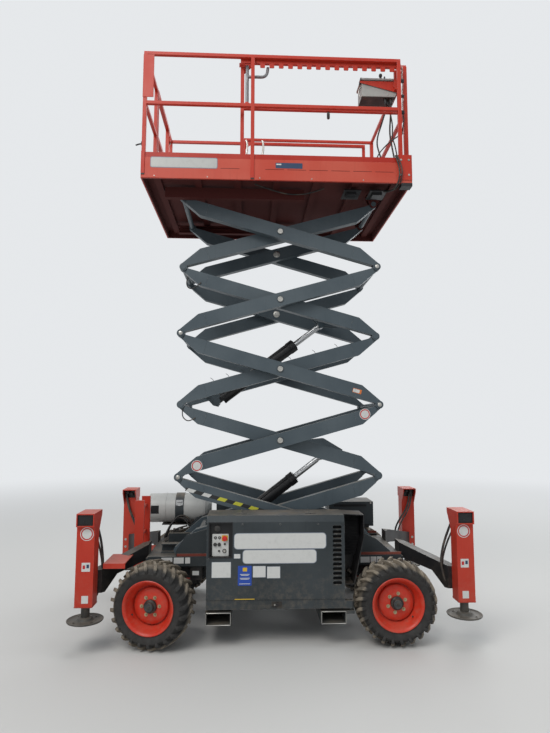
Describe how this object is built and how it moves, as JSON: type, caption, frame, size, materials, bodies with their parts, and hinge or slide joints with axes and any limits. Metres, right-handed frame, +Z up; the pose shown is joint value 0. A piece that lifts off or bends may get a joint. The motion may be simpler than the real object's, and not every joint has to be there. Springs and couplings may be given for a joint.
{
  "type": "rough terrain scissor lift",
  "caption": "Rough-terrain scissor lift, half raised, with a roll-out railed deck, levelling outriggers, swing-out side trays and steered wheels.",
  "frame": {"origin": "on the ground under the middle of the machine's bounding box", "axes": "+X from the steered end to the fixed end of the scissor stack, +Y to the far side, +Z up"},
  "size_m": [3.3439, 1.894, 5.1167],
  "materials": {
    "orange_red": "satin enamel",
    "blue_grey": "satin enamel",
    "black": "semi-gloss",
    "pale_grey": "satin enamel",
    "steel": "bright tube",
    "chrome": "hard chrome",
    "box_grey": "matt moulded",
    "tyre": "dusty rubber"
  },
  "bodies": {
    "chassis": {"chassis_frame": "blue_grey", "trough_plates": "blue_grey", "base_tracks_and_lugs": "blue_grey", "steer_axle": "blue_grey", "drive_axle": "blue_grey", "outrigger_cases": "orange_red", "outrigger_arms": "black", "far_end_box": "blue_grey", "gas_tank": "pale_grey", "tank_shelf": "black", "ladder": "orange_red"},
    "arm_1_outer": {"arm_1_outer": "blue_grey"},
    "arm_1_inner": {"arm_1_inner": "blue_grey"},
    "arm_2_outer": {"arm_2_outer": "blue_grey"},
    "arm_2_inner": {"arm_2_inner": "blue_grey"},
    "arm_3_outer": {"arm_3_outer": "blue_grey"},
    "arm_3_inner": {"arm_3_inner": "blue_grey"},
    "arm_4_outer": {"arm_4_outer": "blue_grey"},
    "arm_4_inner": {"arm_4_inner": "blue_grey"},
    "arm_5_outer": {"arm_5_outer": "blue_grey"},
    "arm_5_inner": {"arm_5_inner": "blue_grey"},
    "lift_barrel_1": {"lift_barrel_1": "black"},
    "lift_rod_1": {"lift_rod_1": "chrome"},
    "lift_barrel_2": {"lift_barrel_2": "black"},
    "lift_rod_2": {"lift_rod_2": "chrome"},
    "platform": {"platform_deck": "orange_red", "platform_rails": "orange_red"},
    "entry_gate": {"entry_gate": "orange_red"},
    "roll_out_platform": {"roll_out_deck": "orange_red", "roll_out_rails": "orange_red", "control_box": "box_grey"},
    "knuckle_near": {"knuckle_near": "blue_grey"},
    "knuckle_far": {"knuckle_far": "blue_grey"},
    "wheel_steer_near": {"rim_steer_near": "orange_red", "tyre_steer_near": "tyre"},
    "wheel_steer_far": {"rim_steer_far": "orange_red", "tyre_steer_far": "tyre"},
    "wheel_drive_near": {"rim_drive_near": "orange_red", "tyre_drive_near": "tyre"},
    "wheel_drive_far": {"rim_drive_far": "orange_red", "tyre_drive_far": "tyre"},
    "near_tray": {"near_tray_cover": "blue_grey", "engine_block": "black", "radiator_duct": "black"},
    "far_tray": {"far_tray_cover": "blue_grey", "hydraulic_tank": "black"},
    "outrigger_leg_near_left": {"outrigger_leg_near_left": "steel"},
    "outrigger_leg_far_left": {"outrigger_leg_far_left": "steel"},
    "outrigger_leg_near_right": {"outrigger_leg_near_right": "steel"},
    "outrigger_leg_far_right": {"outrigger_leg_far_right": "steel"}
  },
  "joints": [
    {"name": "scissor_lift", "type": "hinge", "parent": "chassis", "child": "arm_1_outer", "pos_m": [0.95003, 0, 0.67], "axis": [0, 1, 0], "range_deg": [-15.5, 45.4]},
    {"name": "centre_pin_1", "type": "hinge", "parent": "arm_1_outer", "child": "arm_1_inner", "pos_m": [0.04, 0, 0.99405], "axis": [0, 1, 0], "range_deg": [-91, 31.2]},
    {"name": "right_pin_1", "type": "hinge", "parent": "arm_1_inner", "child": "arm_2_inner", "pos_m": [0.95003, 0, 1.31809], "axis": [0, 1, 0], "range_deg": [-31.2, 91]},
    {"name": "centre_pin_2", "type": "hinge", "parent": "arm_2_inner", "child": "arm_2_outer", "pos_m": [0.04, 0, 1.64214], "axis": [0, 1, 0], "range_deg": [-91, 31.2]},
    {"name": "right_pin_2", "type": "hinge", "parent": "arm_2_outer", "child": "arm_3_outer", "pos_m": [0.95003, 0, 1.96619], "axis": [0, 1, 0], "range_deg": [-31.2, 91]},
    {"name": "centre_pin_3", "type": "hinge", "parent": "arm_3_outer", "child": "arm_3_inner", "pos_m": [0.04, 0, 2.29023], "axis": [0, 1, 0], "range_deg": [-91, 31.2]},
    {"name": "right_pin_3", "type": "hinge", "parent": "arm_3_inner", "child": "arm_4_inner", "pos_m": [0.95003, 0, 2.61428], "axis": [0, 1, 0], "range_deg": [-31.2, 91]},
    {"name": "centre_pin_4", "type": "hinge", "parent": "arm_4_inner", "child": "arm_4_outer", "pos_m": [0.04, 0, 2.93832], "axis": [0, 1, 0], "range_deg": [-91, 31.2]},
    {"name": "right_pin_4", "type": "hinge", "parent": "arm_4_outer", "child": "arm_5_outer", "pos_m": [0.95003, 0, 3.26237], "axis": [0, 1, 0], "range_deg": [-31.2, 91]},
    {"name": "centre_pin_5", "type": "hinge", "parent": "arm_5_outer", "child": "arm_5_inner", "pos_m": [0.04, 0, 3.58642], "axis": [0, 1, 0], "range_deg": [-91, 31.2]},
    {"name": "platform_pin", "type": "hinge", "parent": "arm_5_inner", "child": "platform", "pos_m": [0.95003, 0, 3.91046], "axis": [0, 1, 0], "range_deg": [-15.7, 45.6]},
    {"name": "lift_cylinder_1_foot", "type": "hinge", "parent": "arm_1_inner", "child": "lift_barrel_1", "pos_m": [-0.56003, 0, 0.69971], "axis": [0, 1, 0], "range_deg": [-1.71, 0.78]},
    {"name": "lift_cylinder_1_rod", "type": "slide", "parent": "lift_barrel_1", "child": "lift_rod_1", "axis": [0.7968, 0, 0.6043], "range_m": [-0.2221, 0.6448]},
    {"name": "lift_cylinder_2_foot", "type": "hinge", "parent": "arm_3_inner", "child": "lift_barrel_2", "pos_m": [-0.56003, 0, 1.99589], "axis": [0, 1, 0], "range_deg": [-1.71, 0.78]},
    {"name": "lift_cylinder_2_rod", "type": "slide", "parent": "lift_barrel_2", "child": "lift_rod_2", "axis": [0.7968, 0, 0.6043], "range_m": [-0.2221, 0.6448]},
    {"name": "steer_near", "type": "hinge", "parent": "chassis", "child": "knuckle_near", "pos_m": [-0.98503, -0.6, 0.335], "axis": [0, 0, 1], "range_deg": [-8.3, 31.7]},
    {"name": "steer_far", "type": "hinge", "parent": "chassis", "child": "knuckle_far", "pos_m": [-0.98503, 0.6, 0.335], "axis": [0, 0, 1], "range_deg": [-8.3, 31.7]},
    {"name": "roll_steer_near", "type": "hinge", "parent": "knuckle_near", "child": "wheel_steer_near", "pos_m": [-1.00936, -0.71751, 0.335], "axis": [0.2028, 0.9792, 0], "continuous": true},
    {"name": "roll_steer_far", "type": "hinge", "parent": "knuckle_far", "child": "wheel_steer_far", "pos_m": [-0.96069, 0.71751, 0.335], "axis": [0.2028, 0.9792, 0], "continuous": true},
    {"name": "roll_drive_near", "type": "hinge", "parent": "chassis", "child": "wheel_drive_near", "pos_m": [0.97503, -0.72, 0.335], "axis": [0, 1, 0], "continuous": true},
    {"name": "roll_drive_far", "type": "hinge", "parent": "chassis", "child": "wheel_drive_far", "pos_m": [0.97503, 0.72, 0.335], "axis": [0, 1, 0], "continuous": true},
    {"name": "extend_leg_near_left", "type": "slide", "parent": "chassis", "child": "outrigger_leg_near_left", "axis": [0, 0, -1], "range_m": [0, 0.4]},
    {"name": "extend_leg_far_left", "type": "slide", "parent": "chassis", "child": "outrigger_leg_far_left", "axis": [0, 0, -1], "range_m": [0, 0.4]},
    {"name": "extend_leg_near_right", "type": "slide", "parent": "chassis", "child": "outrigger_leg_near_right", "axis": [0, 0, -1], "range_m": [0, 0.4]},
    {"name": "extend_leg_far_right", "type": "slide", "parent": "chassis", "child": "outrigger_leg_far_right", "axis": [0, 0, -1], "range_m": [0, 0.4]},
    {"name": "roll_out_deck", "type": "slide", "parent": "platform", "child": "roll_out_platform", "axis": [1, 0, 0], "range_m": [0, 1.2]},
    {"name": "gate_hinge", "type": "hinge", "parent": "platform", "child": "entry_gate", "pos_m": [-1.15303, 0.525, 4.5], "axis": [0, 0, 1], "range_deg": [0, 90]},
    {"name": "near_tray_swing", "type": "hinge", "parent": "chassis", "child": "near_tray", "pos_m": [0.6, -0.77, 0.335], "axis": [0, 0, 1], "range_deg": [0, 90]},
    {"name": "far_tray_swing", "type": "hinge", "parent": "chassis", "child": "far_tray", "pos_m": [0.6, 0.77, 0.335], "axis": [0, 0, 1], "range_deg": [-90, 0]}
  ],
  "couplings": [
    {"joint": "centre_pin_1", "follows": "scissor_lift", "ratio": -2},
    {"joint": "right_pin_1", "follows": "scissor_lift", "ratio": 2},
    {"joint": "centre_pin_2", "follows": "scissor_lift", "ratio": -2},
    {"joint": "right_pin_2", "follows": "scissor_lift", "ratio": 2},
    {"joint": "centre_pin_3", "follows": "scissor_lift", "ratio": -2},
    {"joint": "right_pin_3", "follows": "scissor_lift", "ratio": 2},
    {"joint": "centre_pin_4", "follows": "scissor_lift", "ratio": -2},
    {"joint": "right_pin_4", "follows": "scissor_lift", "ratio": 2},
    {"joint": "centre_pin_5", "follows": "scissor_lift", "ratio": -2},
    {"joint": "platform_pin", "follows": "scissor_lift", "ratio": 1},
    {"joint": "lift_cylinder_1_foot", "follows": "scissor_lift", "ratio": -0.031},
    {"joint": "lift_cylinder_1_rod", "follows": "scissor_lift", "m_per_rad": 0.81},
    {"joint": "lift_cylinder_2_foot", "follows": "scissor_lift", "ratio": -0.031},
    {"joint": "lift_cylinder_2_rod", "follows": "scissor_lift", "m_per_rad": 0.81},
    {"joint": "steer_far", "follows": "steer_near", "ratio": 1}
  ]
}
